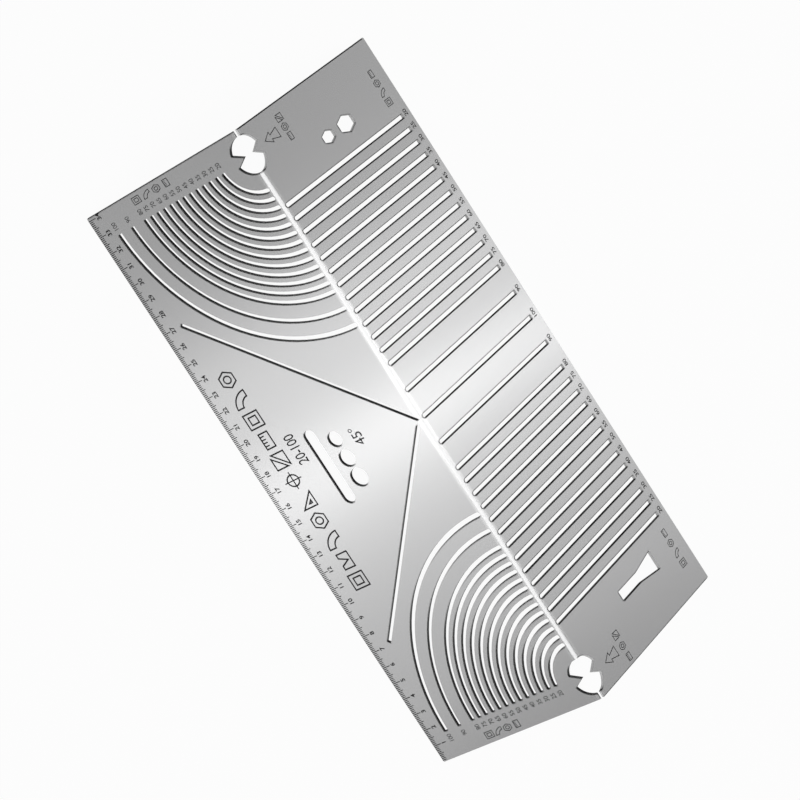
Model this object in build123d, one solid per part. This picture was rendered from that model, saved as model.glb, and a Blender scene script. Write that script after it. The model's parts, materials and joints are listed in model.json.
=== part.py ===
from build123d import *

import math
import os

# Arc marking tool: one stainless steel sheet, laser cut and folded once at a right angle.
# It sits over the edge of a square tube that is to be notched and folded round a curve.
# The ruler flange has quarter-arc slots about a pivot at each end of the fold. The line flange
# has straight slots, each as far from its pivot as the quarter arc of the same size is long.
# Distances out on a flange start at the sharp corner where the two outer faces would meet.

# Sheet and fold, in millimetres
sheet_thickness = 1.5
bend_inner_radius = 1.0
free_corner_chamfer = 0.5

# Sizes of the marks: the radii of the arcs
smallest_mark = 20.0
fine_mark_step = 5.0
fine_mark_count = 13
coarse_mark_step = 10.0
coarse_mark_count = 2

# Sheet past the cuts, and the width of the line flange
pivot_to_end = 13.92
ruler_margin = 12.2
line_flange_width = 130.0
line_slot_to_edge = 7.3

# Slots for the scriber, which run in as far as the inside of the bend
scriber_slot_width = 2.2
slot_start_out = 2.0
largest_arc_slot_width = 2.6
arc_end_gap = 1.6

# 45-degree slots from the middle of the fold
mitre_reach = 98.5
mitre_corner_gap = 0.2
mitre_land = 3.4

# Window at each pivot, cut round while the sheet is flat, so that the bend draws its two
# halves apart. A pointer is left on each flange, and a slit runs out to the end.
window_radius = 10.4
bend_neutral_share = 0.4
pointer_tip_to_fold = 4.3
pointer_half_width = 3.9
end_slit_width = 1.1

# Gauge holes and hanging slot in the ruler flange
gauge_hole_diameters = (8.5, 9.5, 10.5)
gauge_hole_pitch = 11.6
gauge_holes_out = 55.3
gauge_centre_along = 1.5
hang_slot_length = 44.2
hang_slot_width = 7.4
hang_slot_out = 68.6

# Hexagonal holes in the line flange: corner to corner along the fold, then out across the flats
small_hexagon_size = (7.1, 10.5)
large_hexagon_size = (9.6, 14.0)
hexagon_to_pivot = 16.6
hexagon_pitch = 17.9
small_hexagon_out = 60.7

# Flared hole in the line flange
flare_to_pivot = 15.4
flare_neck_width = 5.5
flare_neck_start = 57.7
flare_neck_length = 21.3
flare_mouth_width = 11.0
flare_mouth_length = 19.6
flare_blend_radius = 12.0


def quarter_arc_length(radius):
    """Length of a quarter of a circle."""
    return math.pi / 2 * radius


def mark_sizes():
    """Radii of the arcs: small steps at first, then large ones."""
    sizes = [smallest_mark + fine_mark_step * step for step in range(fine_mark_count)]
    for _ in range(coarse_mark_count):
        sizes.append(sizes[-1] + coarse_mark_step)
    return sizes


# Sizes that follow from the marks
marks = mark_sizes()
largest_mark = marks[-1]
pivot_along = quarter_arc_length(largest_mark)
bend_outer_radius = bend_inner_radius + sheet_thickness
sheet_length = 2 * (pivot_along + pivot_to_end)
ruler_flange_width = sheet_thickness + largest_mark + largest_arc_slot_width / 2 + ruler_margin
line_slot_length = line_flange_width - slot_start_out - line_slot_to_edge
bend_neutral_radius = bend_inner_radius + bend_neutral_share * sheet_thickness
window_centre_out = bend_outer_radius - quarter_arc_length(bend_neutral_radius) / 2

# Frames of the two outer faces, seen from outside: x along the fold, y out to the free edge.
# The ruler flange reads against the sheet's own X, the line flange along it.
ruler_face = Plane(origin=(0, 0, 0), x_dir=(-1, 0, 0), z_dir=(0, 0, 1))
line_face = Plane(origin=(0, 0, 0), x_dir=(1, 0, 0), z_dir=(0, 1, 0))
mitre_plane = Plane(origin=(0, 0, 0), x_dir=(1, 0, 0), z_dir=(0, -1, 1))


def folded_blank():
    """The uncut sheet: an even skin drawn along the fold, with its free corners dulled."""
    skin = FilletPolyline(
        (-ruler_flange_width, 0),
        (0, 0),
        (0, -line_flange_width),
        radius=bend_outer_radius,
    )
    section = make_face(offset(skin, sheet_thickness, side=Side.RIGHT))
    blank = extrude(Plane.YZ * section, sheet_length / 2, both=True)
    free_corners = [
        edge
        for edge in blank.edges().filter_by(GeomType.LINE)
        if edge.length < 2 * sheet_thickness and abs(edge.center().X) > sheet_length / 3
    ]
    return chamfer(free_corners, free_corner_chamfer)


def straight_slot(length, width):
    """A slot along +x, rounded at the origin and cut off square at its far end."""
    edge = width / 2
    outline = Polyline((edge, -edge), (length, -edge), (length, edge), (edge, edge))
    outline += ThreePointArc((edge, edge), (0, 0), (edge, -edge))
    return make_face(outline)


def arc_slot(centre, radius, outer_angle, fold_angle, width):
    """A slot along an arc about the centre, rounded at the fold and square at its outer end."""
    inner_radius = radius - width / 2
    outer_radius = radius + width / 2
    round_start = fold_angle - math.degrees(width / 2 / radius)

    def at(distance, angle):
        return centre + Vector(distance, 0).rotate(Axis.Z, angle)

    outline = CenterArc(centre, outer_radius, outer_angle, round_start - outer_angle)
    outline += ThreePointArc(
        at(outer_radius, round_start), at(radius, fold_angle), at(inner_radius, round_start)
    )
    outline += CenterArc(centre, inner_radius, outer_angle, round_start - outer_angle)
    outline += Line(at(inner_radius, outer_angle), at(outer_radius, outer_angle))
    return make_face(outline)


def end_arc_slots():
    """Quarter-arc slots about the pivot at +x, centred on the fold's inner corner."""
    centre = Vector(pivot_along, sheet_thickness)
    slots = Sketch()
    for size in marks:
        width = largest_arc_slot_width if size == largest_mark else scriber_slot_width
        outer_angle = 90 + math.degrees(math.asin(arc_end_gap / size))
        fold_angle = 180 - math.degrees(math.asin((slot_start_out - sheet_thickness) / size))
        slots += arc_slot(centre, size, outer_angle, fold_angle, width)
    return slots


def pivot_window():
    """One flange's half of the window at the pivot at +x, with the pointer left in it."""
    reach = window_centre_out + window_radius
    pointer = Polyline(
        (-pointer_half_width, reach),
        (0, pointer_tip_to_fold),
        (pointer_half_width, reach),
        close=True,
    )
    opening = Pos(0, window_centre_out) * Circle(window_radius)
    opening += Pos(0, window_centre_out) * Rectangle(
        2 * window_radius, 2 * window_centre_out, align=(Align.CENTER, Align.MAX)
    )
    return Pos(pivot_along, 0) * (opening - make_face(pointer))


def mitre_slots():
    """Two 45-degree slots from the fold's inner corner: one meets it, the other stops short."""
    reach = mitre_reach * math.sqrt(2)
    full_length = reach + 3 / 2 * scriber_slot_width
    short_length = reach + scriber_slot_width / 2 - mitre_land
    full_slot = Pos(-scriber_slot_width, 0) * straight_slot(full_length, scriber_slot_width)
    short_slot = Pos(mitre_land, 0) * straight_slot(short_length, scriber_slot_width)
    from_corner = Pos(0, sheet_thickness) * Rot(Z=45)
    clear_of_corner = Pos(0, sheet_thickness + mitre_corner_gap)
    quadrant = clear_of_corner * Rectangle(sheet_length, sheet_length, align=(Align.MIN, Align.MIN))
    first_slot = (from_corner * full_slot) & quadrant
    second_slot = mirror(from_corner * short_slot, about=Plane.YZ)
    return first_slot + second_slot


def gauge_openings():
    """Three round holes in a row beside a long rounded slot."""
    openings = Pos(-gauge_centre_along, hang_slot_out) * SlotOverall(hang_slot_length, hang_slot_width)
    middle = (len(gauge_hole_diameters) - 1) / 2
    for place, diameter in enumerate(gauge_hole_diameters):
        along = -gauge_centre_along - (place - middle) * gauge_hole_pitch
        openings += Pos(along, gauge_holes_out) * Circle(diameter / 2)
    return openings


def line_slots():
    """Straight slots square to the fold; the two largest fall together in the middle."""
    slot = Rot(Z=90) * straight_slot(line_slot_length, scriber_slot_width)
    slots = Pos(0, slot_start_out) * slot
    for size in marks[:-1]:
        along = pivot_along - quarter_arc_length(size)
        slots += Pos(along, slot_start_out) * slot
        slots += Pos(-along, slot_start_out) * slot
    return slots


def long_hexagon(width, length):
    """A hexagon with two sides along x, drawn out along y."""
    right_side = [(width / 4, -length / 2), (width / 2, 0), (width / 4, length / 2)]
    left_side = [(-along, out) for along, out in reversed(right_side)]
    return make_face(Polyline(*right_side, *left_side, close=True))


def hexagon_holes():
    """Two hexagonal holes in line, square to the fold."""
    along = -pivot_along + hexagon_to_pivot
    small = Pos(along, small_hexagon_out) * long_hexagon(*small_hexagon_size)
    large_out = small_hexagon_out + hexagon_pitch
    return small + Pos(along, large_out) * long_hexagon(*large_hexagon_size)


def flared_hole():
    """A straight neck that opens to a wide mouth towards the free edge."""
    neck_end = flare_neck_start + flare_neck_length
    mouth = neck_end + flare_mouth_length
    right_side = [
        (flare_neck_width / 2, flare_neck_start),
        (flare_neck_width / 2, neck_end),
        (flare_mouth_width / 2, mouth),
    ]
    left_side = [(-along, out) for along, out in reversed(right_side)]
    shape = make_face(Polyline(*right_side, *left_side, close=True))
    shoulders = [v for v in shape.vertices() if abs(v.Y - neck_end) < flare_neck_width / 2]
    shape = fillet(shoulders, flare_blend_radius)
    return Pos(pivot_along - flare_to_pivot, 0) * shape


def cut_flange(flange, face, openings):
    """Cuts the openings square to the flange's outer face, right through the sheet."""
    return flange - extrude(face * openings, 2 * bend_outer_radius, both=True)


def end_slits():
    """Narrow cuts down the middle of the bend, from each window to the end of the sheet."""
    depth = 4 * bend_outer_radius
    outwards = (Align.MIN, Align.CENTER, Align.CENTER)
    slit = Rot(X=-45) * Box(pivot_to_end, end_slit_width, depth, align=outwards)
    slit = Pos(pivot_along, 0, 0) * slit
    return slit + mirror(slit, about=Plane.YZ)


def marking_sheet():
    """The whole sheet: each half is cut on its own face, and the halves meet in the bend."""
    blank = folded_blank()
    end_cuts = end_arc_slots() + pivot_window()
    ruler_openings = end_cuts + mirror(end_cuts, about=Plane.YZ) + mitre_slots() + gauge_openings()
    window = pivot_window()
    line_openings = window + mirror(window, about=Plane.YZ) + line_slots()
    line_openings += hexagon_holes() + flared_hole()
    ruler_half = split(blank, bisect_by=mitre_plane, keep=Keep.TOP)
    line_half = split(blank, bisect_by=mitre_plane, keep=Keep.BOTTOM)
    sheet = cut_flange(ruler_half, ruler_face, ruler_openings)
    sheet += cut_flange(line_half, line_face, line_openings)
    return sheet - end_slits()


def at_rest(sheet):
    """Stands the sheet like a tent on both free edges, over the middle of its footprint."""
    slope = math.atan2(line_flange_width - sheet_thickness, ruler_flange_width - sheet_thickness)
    rise = ruler_flange_width * math.sin(slope) + sheet_thickness * math.cos(slope)
    ruler_side = ruler_flange_width * math.cos(slope)
    line_side = line_flange_width * math.sin(slope)
    return Pos(0, (ruler_side - line_side) / 2, rise) * Rot(X=math.degrees(slope)) * sheet


os.makedirs("parts", exist_ok=True)
export_step(at_rest(marking_sheet()), "parts/marking_sheet.step")
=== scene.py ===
import json
import math
import bpy
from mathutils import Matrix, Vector


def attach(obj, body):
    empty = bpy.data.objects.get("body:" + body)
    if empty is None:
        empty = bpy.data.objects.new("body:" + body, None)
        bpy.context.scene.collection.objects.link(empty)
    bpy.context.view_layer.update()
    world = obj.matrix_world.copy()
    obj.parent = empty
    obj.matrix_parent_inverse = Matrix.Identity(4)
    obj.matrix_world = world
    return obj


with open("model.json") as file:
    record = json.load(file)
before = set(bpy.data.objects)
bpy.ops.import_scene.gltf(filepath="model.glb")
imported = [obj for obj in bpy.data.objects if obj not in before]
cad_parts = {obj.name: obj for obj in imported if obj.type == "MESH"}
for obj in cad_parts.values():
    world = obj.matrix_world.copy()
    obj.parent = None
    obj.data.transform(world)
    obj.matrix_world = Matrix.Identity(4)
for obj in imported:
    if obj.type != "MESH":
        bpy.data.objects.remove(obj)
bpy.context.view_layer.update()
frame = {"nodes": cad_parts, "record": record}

# Marking sheet: one stainless steel sheet, laser cut and folded once at a right angle.
# Its faces keep the mill's brushed grain, which runs along the fold. The walls of the slots, holes
# and edges carry painted shade, near-black, and the line flange's walls that face the fold painted
# light, near-white; painted shade also runs along one side of each cut, and a painted highlight
# along the bend.
sheet = frame["nodes"]["marking_sheet"]
sheet_thickness = 0.0015
bend_outer_radius = 0.0025
line_flange_width = 0.130
seats = {mount["name"]: mount for mount in frame["record"]["mounts"]}
ruler_seat = seats["ruler_flange_seat"]
line_seat = seats["line_flange_seat"]
ruler_normal = -Vector(ruler_seat["axis"])
line_normal = -Vector(line_seat["axis"])
ruler_plane = ruler_normal.dot(Vector(ruler_seat["pos_m"])) + sheet_thickness
line_plane = line_normal.dot(Vector(line_seat["pos_m"])) + sheet_thickness
ruler_down = Vector((0, -line_normal.y, -line_normal.z))
line_down = Vector((0, -ruler_normal.y, -ruler_normal.z))
fold_corner = ruler_normal * ruler_plane + line_normal * line_plane


def feed(tree, socket, source):
    """Links an input to another socket, or sets it to a plain value."""
    if isinstance(source, bpy.types.NodeSocket):
        tree.links.new(source, socket)
    else:
        socket.default_value = source


def worked_out(tree, operation, *values):
    """The result of a Math node on sockets or plain values."""
    node = tree.nodes.new("ShaderNodeMath")
    node.operation = operation
    for socket, value in zip(node.inputs, values):
        feed(tree, socket, value)
    return node.outputs[0]


def worked_out_vector(tree, operation, *values):
    """The Vector Math node of an operation on sockets or plain vectors."""
    node = tree.nodes.new("ShaderNodeVectorMath")
    node.operation = operation
    for socket, value in zip(node.inputs, values):
        feed(tree, socket, value)
    return node


def reach_along(tree, vector, direction):
    """How far a vector reaches in a direction."""
    return worked_out_vector(tree, "DOT_PRODUCT", vector, direction).outputs["Value"]


def ranged(tree, value, start, end, low=0.0, high=1.0, kind="LINEAR"):
    """A value's range from start to end, mapped onto low to high and held beyond both."""
    node = tree.nodes.new("ShaderNodeMapRange")
    node.interpolation_type = kind
    settings = {"Value": value, "From Min": start, "From Max": end, "To Min": low, "To Max": high}
    for name, setting in settings.items():
        feed(tree, node.inputs[name], setting)
    return node.outputs["Result"]


def new_group(name, inputs, outputs):
    """A node group with its sockets: the tree, what comes into it and what leaves it."""
    tree = bpy.data.node_groups.new(name, "ShaderNodeTree")
    for socket, kind in inputs.items():
        tree.interface.new_socket(socket, in_out="INPUT", socket_type=kind)
    for socket in outputs:
        tree.interface.new_socket(socket, in_out="OUTPUT", socket_type="NodeSocketFloat")
    entry = tree.nodes.new("NodeGroupInput")
    leave = tree.nodes.new("NodeGroupOutput")
    return tree, entry.outputs, leave.inputs


def cut_wall_group():
    """Masks the cut walls: 0 on both skins and round the bend, 1 on the walls between them. The
    walls of the line flange that face the fold get painted light, near-white, from their own mask;
    the other walls get painted shade, near-black."""
    tree, entry, leave = new_group(
        "cut_wall_mask", {"Position": "NodeSocketVector"}, ("Painted shade wall", "Painted light wall")
    )
    from_inside = tree.nodes.new("ShaderNodeCombineXYZ")
    for axis, normal, plane in (("X", ruler_normal, ruler_plane), ("Y", line_normal, line_plane)):
        height = reach_along(tree, entry["Position"], normal)
        past_bend = worked_out(tree, "SUBTRACT", height, plane - bend_outer_radius)
        feed(tree, from_inside.inputs[axis], worked_out(tree, "MAXIMUM", past_bend, 0.0))
    radius = worked_out_vector(tree, "LENGTH", from_inside.outputs[0]).outputs["Value"]
    middle_radius = bend_outer_radius - sheet_thickness / 2
    off_middle = worked_out(tree, "SUBTRACT", radius, middle_radius)
    distance = worked_out(tree, "ABSOLUTE", off_middle)
    wall_edge = sheet_thickness / 2 - 0.00004
    wall_full = sheet_thickness / 2 - 0.00008
    wall = ranged(tree, distance, wall_edge, wall_full)
    face = tree.nodes.new("ShaderNodeNewGeometry")
    # Painted light on the line flange's walls that face the fold; painted shade on all other
    # walls.
    to_fold = reach_along(tree, face.outputs["True Normal"], -line_down)
    painted_light_walls = worked_out(tree, "MULTIPLY", wall, ranged(tree, to_fold, 0.2, 0.4))
    feed(tree, leave["Painted shade wall"], worked_out(tree, "SUBTRACT", wall, painted_light_walls))
    feed(tree, leave["Painted light wall"], painted_light_walls)
    return tree


def brushed_grain_group():
    """Fine streaks along the fold, the same on both flanges and round the bend."""
    tree, entry, leave = new_group(
        "brushed_grain",
        {
            "Position": "NodeSocketVector",
            "Streak length": "NodeSocketFloat",
            "Streak width": "NodeSocketFloat",
        },
        ("Grain",),
    )
    spread = tree.nodes.new("ShaderNodeCombineXYZ")
    directions = (
        ("X", Vector((1, 0, 0)), "Streak length"),
        ("Y", ruler_normal, "Streak width"),
        ("Z", line_normal, "Streak width"),
    )
    for axis, direction, size in directions:
        place = reach_along(tree, entry["Position"], direction)
        feed(tree, spread.inputs[axis], worked_out(tree, "DIVIDE", place, entry[size]))
    noise = tree.nodes.new("ShaderNodeTexNoise")
    noise.inputs["Scale"].default_value = 1.0
    noise.inputs["Detail"].default_value = 3.0
    noise.inputs["Roughness"].default_value = 0.6
    feed(tree, noise.inputs["Vector"], spread.outputs[0])
    feed(tree, leave["Grain"], noise.outputs["Fac"])
    return tree


def cut_rim_group():
    """Masks painted shade on a thin rim of both skins along every cut: a hairline on the line
    flange, where the edge doesn't turn to the fold, and a wider rim on the side that faces the
    shade side direction."""
    tree, entry, leave = new_group(
        "cut_rim_mask",
        {
            "Position": "NodeSocketVector",
            "Rim width": "NodeSocketFloat",
            "Shade side": "NodeSocketVector",
        },
        ("Cut rim",),
    )
    rounded = tree.nodes.new("ShaderNodeBevel")
    rounded.samples = 8
    feed(tree, rounded.inputs["Radius"], entry["Rim width"])
    face = tree.nodes.new("ShaderNodeNewGeometry").outputs["True Normal"]
    likeness = reach_along(tree, rounded.outputs["Normal"], face)
    upright = worked_out_vector(tree, "SCALE", face)
    feed(tree, upright.inputs["Scale"], likeness)
    tilt = worked_out_vector(
        tree, "SUBTRACT", rounded.outputs["Normal"], upright.outputs["Vector"]
    )
    tilt_direction = worked_out_vector(
        tree, "NORMALIZE", tilt.outputs["Vector"]
    ).outputs["Vector"]

    # Painted shade: a dark hairline along the line flange's cuts, except where the edge turns to
    # the fold.
    on_line_flange_face = ranged(tree, reach_along(tree, face, line_normal), 0.7, 0.9)
    not_to_fold = ranged(tree, reach_along(tree, tilt_direction, line_down), -0.5, -0.2)
    hairline = worked_out(tree, "MULTIPLY", ranged(tree, likeness, 0.96, 0.91), not_to_fold)
    hairline = worked_out(tree, "MULTIPLY", hairline, on_line_flange_face)

    # Painted shade: a wider dark rim on the side of each cut that faces the shade side direction.
    to_shade_side = reach_along(tree, tilt_direction, entry["Shade side"])
    on_shade_side = ranged(tree, to_shade_side, 0.05, 0.3)
    up_ruler_flange = reach_along(tree, tilt_direction, line_normal)
    wider = ranged(tree, up_ruler_flange, 0.75, 0.0, 0.0, 0.032)
    off_shade_rim = worked_out(tree, "SUBTRACT", likeness, wider)
    shade_rim = worked_out(tree, "MULTIPLY", on_shade_side, ranged(tree, off_shade_rim, 0.963, 0.956))

    rim = worked_out(tree, "MAXIMUM", hairline, shade_rim)
    free_edge = fold_corner.dot(line_down) + line_flange_width
    rimless_edge_width = 0.0015
    out = reach_along(tree, entry["Position"], line_down)
    off_free_edge = worked_out(tree, "LESS_THAN", out, free_edge - rimless_edge_width)
    feed(tree, leave["Cut rim"], worked_out(tree, "MULTIPLY", rim, off_free_edge))
    return tree


def burnish_group():
    """Masks a painted highlight along the bend: less on the ridge of the bend, most on
    its two sides, fading out over both flanges."""
    tree, entry, leave = new_group(
        "painted_bend_highlight_mask",
        {"Position": "NodeSocketVector", "Reach": "NodeSocketFloat"},
        ("Painted highlight",),
    )
    section = worked_out_vector(tree, "MULTIPLY", entry["Position"], (0, 1, 1))
    from_corner = worked_out_vector(
        tree, "DISTANCE", section.outputs["Vector"], fold_corner
    ).outputs["Value"]
    ridge = bend_outer_radius * 0.42
    sides = bend_outer_radius * 0.6
    # Painted highlight: lighter colour beside the bend's ridge, fading out over both flanges.
    rise = ranged(tree, from_corner, ridge, sides, 0.1, 1.0, "SMOOTHSTEP")
    fade = ranged(tree, from_corner, sides, entry["Reach"], 1.0, 0.0, "SMOOTHSTEP")
    feed(tree, leave["Painted highlight"], worked_out(tree, "MULTIPLY", rise, fade))
    return tree


cut_wall_mask = cut_wall_group()
brushed_grain = brushed_grain_group()
cut_rim_mask = cut_rim_group()
painted_bend_highlight_mask = burnish_group()


def placed_group(tree, group, values):
    """The outputs of a group fed with sockets or plain values."""
    node = tree.nodes.new("ShaderNodeGroup")
    node.node_tree = group
    for name, value in values.items():
        feed(tree, node.inputs[name], value)
    return node.outputs


def blended(tree, factor, first, second):
    """The first colour turned into the second by a factor."""
    node = tree.nodes.new("ShaderNodeMix")
    node.data_type = "RGBA"
    for name, value in {"Factor": factor, "A": first, "B": second}.items():
        feed(tree, node.inputs[name], value)
    return node.outputs["Result"]


def new_material(name):
    """A material, its node tree and the inputs of its Principled shader."""
    material = bpy.data.materials.new(name)
    material.use_nodes = True
    tree = material.node_tree
    return material, tree, tree.nodes["Principled BSDF"].inputs


def brushed_steel():
    """Stainless steel: brushed skins, a painted highlight along the bend, painted shade on the cut
    walls and along one side of the cuts, and painted light on the walls that face the fold.
    """
    material, tree, shader = new_material("brushed_stainless_steel")
    shader["Anisotropic"].default_value = 1.0
    shader["Anisotropic Rotation"].default_value = 0.25
    shader["Specular IOR Level"].default_value = 0.1
    along_fold = tree.nodes.new("ShaderNodeCombineXYZ")
    along_fold.inputs["X"].default_value = 1.0
    feed(tree, shader["Tangent"], along_fold.outputs[0])

    position = tree.nodes.new("ShaderNodeTexCoord").outputs["Object"]
    streaks = {"Position": position, "Streak length": 0.08, "Streak width": 0.00035}
    grain = placed_group(tree, brushed_grain, streaks)["Grain"]
    highlight_inputs = {"Position": position, "Reach": 0.004}
    bend_highlight = placed_group(tree, painted_bend_highlight_mask, highlight_inputs)["Painted highlight"]
    walls = placed_group(tree, cut_wall_mask, {"Position": position})
    # The cut rims get painted shade on the side toward this direction.
    rims = {"Position": position, "Rim width": 0.0014, "Shade side": (-0.5, 1.2, 0)}
    rim = placed_group(tree, cut_rim_mask, rims)["Cut rim"]

    steel = blended(tree, grain, (0.505, 0.505, 0.507, 1), (0.545, 0.545, 0.547, 1))
    # Painted highlight along the bend.
    steel = blended(tree, bend_highlight, steel, (0.69, 0.69, 0.692, 1))
    # Painted light, near-white, on the walls that face the fold.
    steel = blended(tree, walls["Painted light wall"], steel, (0.85, 0.85, 0.85, 1))
    rim_off_bright = worked_out(tree, "SUBTRACT", rim, walls["Painted light wall"])
    rim_off_bright.node.use_clamp = True
    # Painted shade, near-black, on the other walls and along one side of each cut.
    painted_shade = worked_out(tree, "MAXIMUM", walls["Painted shade wall"], rim_off_bright)
    feed(tree, shader["Base Color"], blended(tree, painted_shade, steel, (0.012, 0.012, 0.012, 1)))
    feed(tree, shader["Roughness"], ranged(tree, grain, 0.0, 1.0, 0.24, 0.28))
    dull = worked_out(tree, "MAXIMUM", painted_shade, walls["Painted light wall"])
    feed(tree, shader["Metallic"], ranged(tree, dull, 0.0, 1.0, 1.0, 0.0))
    return material


sheet.data.materials.clear()
sheet.data.materials.append(brushed_steel())

# Ruler: ticks and numbers lasered along the ruler flange's free edge, in centimetres from
# the end at +X. Each mark is a skin of darkened steel, a few hundredths proud of the face.
mark_height = 0.00003
mark_root = 0.00002
slope = math.atan2(-ruler_normal.y, ruler_normal.z)
ruler_turn = (-slope, 0, math.pi)
bpy.ops.object.select_all(action="DESELECT")


def marked_steel():
    """Steel darkened by the marking laser: nearly black, matt, a little uneven."""
    material, tree, shader = new_material("laser_marked_steel")
    shader["Roughness"].default_value = 0.7
    shader["Specular IOR Level"].default_value = 0.2
    position = tree.nodes.new("ShaderNodeTexCoord").outputs["Object"]
    streaks = {"Position": position, "Streak length": 0.001, "Streak width": 0.0003}
    grain = placed_group(tree, brushed_grain, streaks)["Grain"]
    tint = blended(tree, grain, (0.008, 0.008, 0.009, 1), (0.035, 0.035, 0.037, 1))
    feed(tree, shader["Base Color"], tint)
    return material


laser_mark = marked_steel()


def select_only(pieces):
    """Selects these pieces alone, with the first one active."""
    bpy.ops.object.select_all(action="DESELECT")
    for piece in pieces:
        piece.select_set(True)
    bpy.context.view_layer.objects.active = pieces[0]


def copied(piece):
    """A copy of a piece with its own mesh."""
    select_only([piece])
    bpy.ops.object.duplicate()
    return bpy.context.view_layer.objects.active


def put_on_flange(piece, turn, place):
    """Lays a flat piece, drawn about the origin, on a flange's outer face."""
    select_only([piece])
    piece.rotation_euler = turn
    piece.location = place
    bpy.ops.object.transform_apply(location=True, rotation=True, scale=True)
    return piece


def laid_out(piece, turn, places):
    """Lays a flat piece at the first of some places, and a copy of it at each of the others."""
    pieces = [piece] + [copied(piece) for _ in places[1:]]
    return [put_on_flange(each, turn, place) for each, place in zip(pieces, places)]


def on_ruler_flange(along, out):
    """A point of the ruler flange's outer face: along the fold, then out from its corner."""
    return fold_corner + Vector((along, 0, 0)) + ruler_down * out


def written(text, height, weight, squeeze=1.0):
    """A number as a thin solid in the XY plane, centred on the origin."""
    digit_share_of_size = 0.73
    bpy.ops.object.text_add()
    label = bpy.context.object
    label.data.body = text
    label.data.align_x = "CENTER"
    label.data.align_y = "CENTER"
    label.data.size = height / digit_share_of_size
    label.data.space_character = 0.95
    label.data.resolution_u = 3
    label.data.offset = weight
    label.scale.x = squeeze
    label.data.extrude = (mark_height + mark_root) / 2
    bpy.ops.object.convert(target="MESH")
    bpy.ops.object.mode_set(mode="EDIT")
    bpy.ops.mesh.select_all(action="SELECT")
    bpy.ops.mesh.remove_doubles(threshold=0.000002)
    bpy.ops.mesh.normals_make_consistent(inside=False)
    bpy.ops.object.mode_set(mode="OBJECT")
    return label


def merged(pieces):
    """Several pieces made one."""
    select_only(pieces)
    if len(pieces) > 1:
        bpy.ops.object.join()
    return bpy.context.view_layer.objects.active


def marked(pieces, name):
    """One named piece of many marks, riding on the sheet."""
    whole = merged(pieces)
    whole.name = name
    whole.data.name = name
    whole.data.materials.clear()
    whole.data.materials.append(laser_mark)
    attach(whole, "root")


centimetre = 0.010
millimetre = 0.001
ruler_start = 0.171
ruler_edge_out = 0.115
centimetres = 34
tick_width = 0.0005
tick_end_share = 0.8
millimetre_tick_length = 0.0028
half_tick_length = 0.0039
centimetre_tick_length = 0.0053


def tick_row(length):
    """One tick in each centimetre: a thin bar from the origin along -Y, drawn in a little at
    its free end, then repeated along +X."""
    bpy.ops.mesh.primitive_cube_add(size=1, location=(0, -length / 2, 0))
    row = bpy.context.object
    row.scale = (tick_width, length, mark_height + mark_root)
    bpy.ops.object.transform_apply(location=True, rotation=False, scale=True)
    bpy.ops.object.mode_set(mode="EDIT")
    bpy.ops.mesh.select_all(action="DESELECT")
    bpy.ops.object.mode_set(mode="OBJECT")
    for vertex in row.data.vertices:
        vertex.select = vertex.co.y < -length / 2
    bpy.ops.object.mode_set(mode="EDIT")
    bpy.ops.transform.resize(value=(tick_end_share, 1, 1))
    bpy.ops.object.mode_set(mode="OBJECT")
    array = row.modifiers.new("row", "ARRAY")
    array.use_relative_offset = False
    array.use_constant_offset = True
    array.constant_offset_displace = (centimetre, 0, 0)
    array.count = centimetres
    bpy.ops.object.modifier_apply(modifier=array.name)
    return row


def ruler_places(numbers_in_centimetre):
    """Where a row of ticks starts, for each of the millimetres it stands for."""
    return [
        on_ruler_flange(ruler_start - number * millimetre, ruler_edge_out)
        for number in numbers_in_centimetre
    ]


ticks = laid_out(
    tick_row(millimetre_tick_length), ruler_turn, ruler_places((1, 2, 3, 4, 6, 7, 8, 9))
)
ticks += laid_out(tick_row(half_tick_length), ruler_turn, ruler_places((5,)))
ticks += laid_out(tick_row(centimetre_tick_length), ruler_turn, ruler_places((10,)))
marked(ticks, "ruler_ticks")

number_height = 0.0029
number_weight = 0.00009
number_to_edge = 0.0077
numbers = []
for count in range(1, centimetres + 1):
    label = written(str(count), number_height, number_weight)
    place = on_ruler_flange(ruler_start - count * centimetre, ruler_edge_out - number_to_edge)
    numbers.append(put_on_flange(label, ruler_turn, place))
marked(numbers, "ruler_numbers")

# Arc sizes: the radius of each quarter arc in millimetres, lasered past the arc's outer end at
# both ends of the ruler flange.
arc_sizes = [20 + 5 * step for step in range(13)] + [90, 100]
pivot_along = math.pi / 2 * arc_sizes[-1] * millimetre
arc_label_height = 0.003
arc_label_weight = -0.00001
arc_label_squeeze = 0.85
arc_label_past_pivot = 0.003
arc_labels = []
for size in arc_sizes:
    label = written(str(size), arc_label_height, arc_label_weight, arc_label_squeeze)
    along = pivot_along + arc_label_past_pivot
    out = sheet_thickness + size * millimetre
    places = [on_ruler_flange(along, out), on_ruler_flange(-along, out)]
    arc_labels += laid_out(label, ruler_turn, places)
marked(arc_labels, "arc_sizes")

# Line sizes: the same sizes, lasered past the straight slots' ends on the line flange. Each
# line stands a quarter arc of its size from a pivot, and the largest is shared by both.
line_turn = (math.pi / 2 - slope, 0, math.pi)
line_slot_end = 0.1227
line_label_height = 0.0031
line_label_weight = 0.00004
line_label_past_slot = 0.0033
line_label_shift = 0.0007


def on_line_flange(along, out):
    """A point of the line flange's outer face: along the fold, then out from its corner."""
    return fold_corner + Vector((along, 0, 0)) + line_down * out


line_labels = []
for size in arc_sizes:
    from_middle = pivot_along - math.pi / 2 * size * millimetre
    sides = (0,) if size == arc_sizes[-1] else (-1, 1)
    places = [
        on_line_flange(side * from_middle - line_label_shift, line_slot_end + line_label_past_slot)
        for side in sides
    ]
    label = written(str(size), line_label_height, line_label_weight)
    line_labels += laid_out(label, line_turn, places)
marked(line_labels, "line_sizes")

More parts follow.
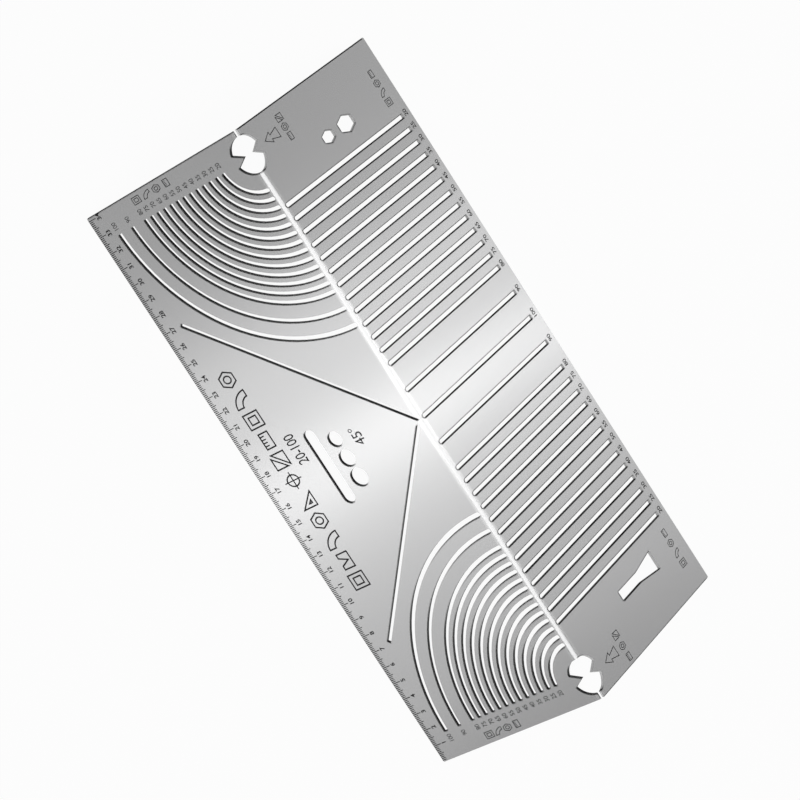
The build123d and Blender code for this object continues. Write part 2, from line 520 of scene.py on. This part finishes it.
# Working range and mitre angle: two larger numbers lasered beside the hanging slot and the
# holes of the ruler flange, the range of arc sizes and the angle of the two mitre slots.
range_label = written("20-100", height=0.0073, weight=0.00004, squeeze=0.66)
put_on_flange(range_label, ruler_turn, on_ruler_flange(along=-0.0144, out=0.081))
angle_label = written("45\u00b0", height=0.0068, weight=0.0, squeeze=0.86)
put_on_flange(angle_label, ruler_turn, on_ruler_flange(along=-0.0066, out=0.0414))
marked([range_label, angle_label], "range_and_angle")

# Pointer arrows: an outlined arrow lasered beside each pivot window on the line flange. It
# points along the pivot line at the window's notch.
arrow_corners = [
    (0, 0), (0.0032, -0.0064), (0.0014, -0.0065), (0.0031, -0.0133),
    (-0.0031, -0.0133), (-0.0014, -0.0065), (-0.0032, -0.0064),
]
arrow_line = 0.00042


def outlined(corners, line):
    """A closed outline of a given line width in the XY plane, or a filled one, as a thin solid."""
    bpy.ops.mesh.primitive_circle_add(vertices=len(corners), radius=0.01, fill_type="NGON")
    shape = bpy.context.object
    for vertex, (x, y) in zip(shape.data.vertices, corners):
        vertex.co = (x, y, -(mark_height + mark_root) / 2)
    bpy.ops.object.mode_set(mode="EDIT")
    bpy.ops.mesh.select_all(action="SELECT")
    if line is not None:
        bpy.ops.mesh.inset(thickness=line, use_even_offset=True)
        bpy.ops.mesh.delete(type="FACE")
    bpy.ops.mesh.select_all(action="SELECT")
    bpy.ops.mesh.extrude_region_move(
        TRANSFORM_OT_translate={"value": (0, 0, mark_height + mark_root)}
    )
    bpy.ops.mesh.select_all(action="SELECT")
    bpy.ops.mesh.normals_make_consistent(inside=False)
    bpy.ops.object.mode_set(mode="OBJECT")
    return shape


arrow_tips = [on_line_flange(-0.1577, 0.015), on_line_flange(0.1595, 0.0169)]
marked(laid_out(outlined(arrow_corners, arrow_line), line_turn, arrow_tips), "pointer_arrows")

# Working signs: rows of plain outlined signs lasered on both flanges, for what the sheet is
# used on and with: a square tube, a notched tube, a tube bend, a centre mark, a nut, a set
# square, a mitre and a rule.
def round_outline(radius, corners, turn=2 * math.pi, centre=(0, 0)):
    """Points of a circle, or of an arc of one, about a centre, from the X axis on."""
    angles = [turn * number / corners for number in range(corners)]
    return [(centre[0] + radius * math.cos(a), centre[1] + radius * math.sin(a)) for a in angles]


def box_outline(left, bottom, right, top):
    """The corners of an upright rectangle."""
    return [(left, bottom), (right, bottom), (right, top), (left, top)]


bend_centre = (-0.46, -0.46)
just_past_quarter = math.pi / 2 * 10 / 9
sign_outlines = {
    "square_tube": [box_outline(-0.46, -0.46, 0.46, 0.46), box_outline(-0.25, -0.25, 0.25, 0.25)],
    "notched_tube": [[
        (-0.48, -0.34), (0.48, -0.34), (0.48, 0.34), (0.2, 0.34),
        (0, -0.06), (-0.2, 0.34), (-0.48, 0.34),
    ]],
    "tube_bend": [
        round_outline(0.92, 10, just_past_quarter, bend_centre)
        + round_outline(0.48, 10, just_past_quarter, bend_centre)[::-1],
    ],
    "centre_mark": [round_outline(0.36, 20)],
    "nut": [round_outline(0.5, 6), round_outline(0.24, 16)],
    "set_square": [
        [(-0.46, -0.46), (0.48, -0.46), (-0.46, 0.48)],
        [(-0.26, -0.26), (0.04, -0.26), (-0.26, 0.04)],
    ],
    "mitre": [
        [(-0.46, -0.46), (0.46, -0.46), (0.46, 0.4)],
        [(-0.46, -0.34), (0.34, 0.46), (-0.46, 0.46)],
    ],
    "rule": [box_outline(-0.48, -0.3, 0.48, 0.3)],
}
sign_bars = {
    "centre_mark": [box_outline(-0.5, -0.03, 0.5, 0.03), box_outline(-0.03, -0.5, 0.03, 0.5)],
    "rule": [box_outline(x - 0.035, 0.02, x + 0.035, 0.28) for x in (-0.27, -0.09, 0.09, 0.27)],
}


def sign(name, width, height, line):
    """A sign of closed outlines, and of plain bars, in the XY plane."""
    pieces = []
    for shapes, shape_line in ((sign_outlines[name], line), (sign_bars.get(name, []), None)):
        for corners in shapes:
            sized = [(x * width, y * height) for x, y in corners]
            pieces.append(outlined(sized, shape_line))
    return merged(pieces)


large_signs = {
    name: sign(name, width=0.0104, height=0.0122, line=0.00085) for name in sign_outlines
}
small_signs = {
    name: sign(name, width=0.0046, height=0.0062, line=0.0004) for name in sign_outlines
}
long_row = (
    "square_tube", "notched_tube", "tube_bend", "nut", "set_square", "centre_mark",
    "mitre", "rule", "square_tube", "tube_bend", "nut",
)
four_in_row = ("square_tube", "tube_bend", "nut", "rule")
three_in_row = ("rule", "nut", "mitre")


def sign_row(row_name, models, names, on_flange, turn, first, step):
    """Copies of signs in a row on a flange. Its first place and its step from sign to sign
    are given along the fold, then out from its corner."""
    row = []
    for count, name in enumerate(names):
        place = on_flange(first[0] + step[0] * count, first[1] + step[1] * count)
        row.append(put_on_flange(copied(models[name]), turn, place))
    marked(row, row_name)


for row_name, models, names, first, step in (
    ("long_sign_row", large_signs, long_row, (0.0623, 0.0948), (-0.01252, 0)),
    ("ruler_flange_signs_left", small_signs, four_in_row, (-0.1663, 0.0793), (0, -0.00767)),
    ("ruler_flange_signs_right", small_signs, four_in_row, (0.1664, 0.0776), (0, -0.0066)),
):
    sign_row(row_name, models, names, on_ruler_flange, ruler_turn, first, step)
for row_name, names, first, step in (
    ("line_flange_signs_left", four_in_row, (-0.1358, 0.1187), (-0.00573, 0)),
    ("line_flange_signs_right", four_in_row, (0.155, 0.1182), (-0.00633, 0)),
    ("pointer_signs_left", three_in_row, (-0.1524, 0.0349), (-0.0054, 0)),
    ("pointer_signs_right", three_in_row, (0.1668, 0.0365), (-0.00655, 0)),
):
    sign_row(row_name, small_signs, names, on_line_flange, line_turn, first, step)
for model in [*large_signs.values(), *small_signs.values()]:
    bpy.data.objects.remove(model)

# Stage: a plain pale floor that reads white to the lens and in the steel, and keeps a soft
# shadow under the sheet.
bpy.ops.object.select_all(action="DESELECT")
bpy.ops.mesh.primitive_plane_add(size=8, location=(0, 0, 0))
floor = bpy.context.object
floor.name = "floor"


def pale_floor():
    """White to the camera and in reflections, with a share of plain matt floor for the shadow."""
    material, tree, shader = new_material("pale_floor")
    shader["Base Color"].default_value = (0.85, 0.85, 0.85, 1)
    shader["Roughness"].default_value = 0.9
    shader["Specular IOR Level"].default_value = 0.0
    white = tree.nodes.new("ShaderNodeEmission")
    white.inputs["Color"].default_value = (1, 1, 1, 1)
    white.inputs["Strength"].default_value = 1.0
    white_share = 0.95
    path = tree.nodes.new("ShaderNodeLightPath").outputs
    seen = worked_out(tree, "MAXIMUM", path["Is Camera Ray"], path["Is Glossy Ray"])
    seen = worked_out(tree, "MAXIMUM", seen, path["Is Transmission Ray"])
    mix = tree.nodes.new("ShaderNodeMixShader")
    feed(tree, mix.inputs[0], worked_out(tree, "MULTIPLY", seen, white_share))
    feed(tree, mix.inputs[1], tree.nodes["Principled BSDF"].outputs[0])
    feed(tree, mix.inputs[2], white.outputs[0])
    feed(tree, tree.nodes["Material Output"].inputs["Surface"], mix.outputs[0])
    return material


floor.data.materials.append(pale_floor())

# Light: the world as a pale room, a softbox overhead that lights the bend, and a row of narrow
# panels on either side that each flange mirrors as bands of light and shade.
world = bpy.data.worlds.new("room")
bpy.context.scene.world = world
world.use_nodes = True
world.node_tree.nodes["Background"].inputs["Color"].default_value = (0.28, 0.28, 0.28, 1)
world.node_tree.nodes["Background"].inputs["Strength"].default_value = 1.0


def softbox(name, place, aim, width, depth, radiance):
    """A rectangular soft light at a place, turned to a point."""
    bpy.ops.object.light_add(type="AREA", location=place)
    lamp = bpy.context.object
    lamp.name = name
    lamp.rotation_euler = (Vector(aim) - Vector(place)).to_track_quat("-Z", "Y").to_euler()
    lamp.data.shape = "RECTANGLE"
    lamp.data.size = width
    lamp.data.size_y = depth
    lamp.data.energy = radiance * math.pi * width * depth
    lamp.visible_camera = False


softbox("overhead_softbox", (0.3, -0.1, 2.3), (0.3, -0.1, 0), width=1.1, depth=3.5, radiance=1.68)
panel_reach = 1.5
panel_height = 0.75
panel_depth = 1.5
panels_along_width_radiance = (
    (0.03, 0.06, 0.35), (0.09, 0.06, 1.25), (0.15, 0.06, 0.95), (0.21, 0.06, 3.0),
    (0.27, 0.06, 1.2), (0.33, 0.06, 0.75), (0.42, 0.12, 0.45),
)
for number, (along, width, radiance) in enumerate(panels_along_width_radiance):
    aim = (along, 0, panel_height)
    for side, reach in (("ruler", -panel_reach), ("line", panel_reach)):
        name = f"{side}_side_panel_{number}"
        softbox(name, (along, reach, panel_height), aim, width, panel_depth, radiance)

# Camera: above the fold and a little to its side, as the photograph looks at it.
bpy.ops.object.camera_add(
    location=(-0.24519, -0.27792, 1.7719),
    rotation=[math.radians(angle) for angle in (-1.609, -11.648, 56.585)],
)
camera = bpy.context.object
camera.data.lens = 155.0
camera.data.sensor_width = 36.0
camera.data.clip_end = 20.0
bpy.context.scene.camera = camera
bpy.context.scene.view_settings.view_transform = "Standard"
